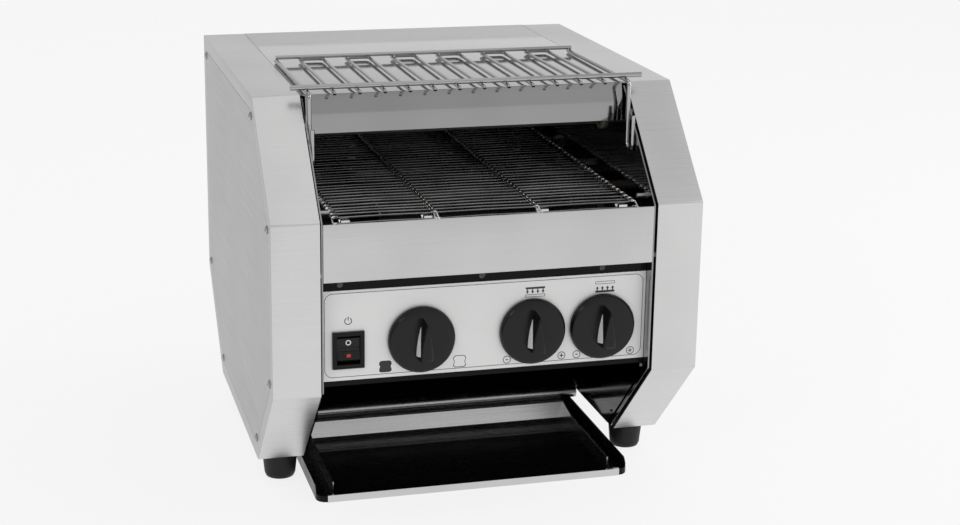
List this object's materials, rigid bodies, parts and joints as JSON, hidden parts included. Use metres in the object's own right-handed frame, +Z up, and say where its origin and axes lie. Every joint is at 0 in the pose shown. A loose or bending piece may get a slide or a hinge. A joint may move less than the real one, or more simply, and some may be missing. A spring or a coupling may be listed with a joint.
{
  "type": "conveyor toaster",
  "caption": "Counter-top conveyor toaster with a wire belt between two heater banks, a rear drop and chute to a front tray, a bread rack on the roof and control knobs.",
  "frame": {"origin": "middle of the footprint, on the surface that the feet stand on", "axes": "+Z up, the front with the controls faces -Y, +X to the right seen from the front"},
  "size_m": [0.3718, 0.4266, 0.357],
  "materials": {
    "brushed_steel": "satin, brushed lengthways",
    "side_steel": "satin",
    "dark_steel": "smooth, darkened by heat",
    "polished_steel": "polished",
    "screw_steel": "turned",
    "rubber": "matte moulded",
    "black_enamel": "satin black",
    "label_print": "satin light grey print",
    "black_plastic": "moulded",
    "knob_plastic": "satin moulded",
    "shaft_steel": "ground",
    "sprocket_steel": "bright cut teeth",
    "bronze": "sintered",
    "belt_wire": "heat-darkened wire",
    "heater_tube": "matte oxide",
    "ceramic": "glazed",
    "motor_paint": "satin dark grey"
  },
  "bodies": {
    "cabinet": {"left_casing": "brushed_steel", "right_casing": "brushed_steel", "left_side_panel": "side_steel", "right_side_panel": "side_steel", "side_screws": "screw_steel", "left_inner_wall": "dark_steel", "right_inner_wall": "dark_steel", "wall_spacers": "screw_steel", "feet": "rubber", "foot_screws": "screw_steel", "top_cover": "brushed_steel", "rear_panel": "side_steel", "rear_lower_panel": "side_steel", "rear_screws": "screw_steel", "cord_gland": "black_plastic", "upper_front_panel": "brushed_steel", "control_box": "black_enamel", "control_panel": "label_print", "control_label": "label_print", "panel_screws": "screw_steel", "switch_body": "black_plastic", "speed_control": "black_plastic", "upper_heat_regulator": "black_plastic", "lower_heat_regulator": "black_plastic", "control_nuts": "screw_steel", "shaft_bearings": "bronze", "belt": "belt_wire", "belt_rails": "dark_steel", "belt_guide_studs": "screw_steel", "upper_heaters": "heater_tube", "lower_heaters": "heater_tube", "heater_insulators": "ceramic", "upper_reflector": "dark_steel", "lower_reflector": "dark_steel", "drive_motor": "motor_paint", "drive_chain": "sprocket_steel", "terminal_block": "ceramic", "rear_guide": "dark_steel", "chute_plate": "black_enamel", "chute_nose": "dark_steel", "toast_guides": "dark_steel"},
    "rocker": {"rocker": "knob_plastic"},
    "speed_control_knob": {"speed_knob": "knob_plastic", "speed_spindle": "shaft_steel"},
    "upper_heat_control_knob": {"upper_heat_knob": "knob_plastic", "upper_heat_spindle": "shaft_steel"},
    "lower_heat_control_knob": {"lower_heat_knob": "knob_plastic", "lower_heat_spindle": "shaft_steel"},
    "front_belt_shaft": {"front_shaft": "shaft_steel", "front_sprockets": "sprocket_steel", "shaft_sprocket": "sprocket_steel"},
    "rear_belt_shaft": {"rear_shaft": "shaft_steel", "rear_sprockets": "sprocket_steel"},
    "motor_drive_shaft": {"motor_shaft": "shaft_steel", "motor_sprocket": "sprocket_steel"},
    "rack": {"rack_side_wires": "polished_steel", "rack_wire_loops": "polished_steel", "rack_rear_wire": "polished_steel", "rack_front_wire": "polished_steel"},
    "tray": {"toast_slide": "polished_steel", "crumb_tray": "black_enamel", "tray_trim": "polished_steel"}
  },
  "joints": [
    {"name": "rocker_tilt", "type": "hinge", "parent": "cabinet", "child": "rocker", "pos_m": [-0.1185, -0.1825, 0.1457], "axis": [1, 0, 0], "range_deg": [0, 16]},
    {"name": "speed_turn", "type": "hinge", "parent": "cabinet", "child": "speed_control_knob", "pos_m": [-0.0565, -0.1893, 0.151], "axis": [0, 1, 0], "range_deg": [-135, 135]},
    {"name": "upper_heat_turn", "type": "hinge", "parent": "cabinet", "child": "upper_heat_control_knob", "pos_m": [0.04, -0.1893, 0.151], "axis": [0, 1, 0], "range_deg": [-135, 135]},
    {"name": "lower_heat_turn", "type": "hinge", "parent": "cabinet", "child": "lower_heat_control_knob", "pos_m": [0.102, -0.1893, 0.151], "axis": [0, 1, 0], "range_deg": [-135, 135]},
    {"name": "front_shaft_turn", "type": "hinge", "parent": "cabinet", "child": "front_belt_shaft", "pos_m": [0, -0.1807, 0.241], "axis": [1, 0, 0], "continuous": true},
    {"name": "rear_shaft_turn", "type": "hinge", "parent": "cabinet", "child": "rear_belt_shaft", "pos_m": [0, 0.1373, 0.241], "axis": [1, 0, 0], "continuous": true},
    {"name": "motor_turn", "type": "hinge", "parent": "cabinet", "child": "motor_drive_shaft", "pos_m": [0.148, -0.1227, 0.162], "axis": [1, 0, 0], "continuous": true},
    {"name": "rack_lift", "type": "slide", "parent": "cabinet", "child": "rack", "axis": [0, 0, 1], "range_m": [0, 0.12]},
    {"name": "tray_pull", "type": "slide", "parent": "cabinet", "child": "tray", "axis": [0, -1, 0], "range_m": [0, 0.28]}
  ],
  "couplings": [
    {"joint": "rear_shaft_turn", "follows": "front_shaft_turn", "ratio": 1},
    {"joint": "motor_turn", "follows": "front_shaft_turn", "ratio": 1.5}
  ]
}
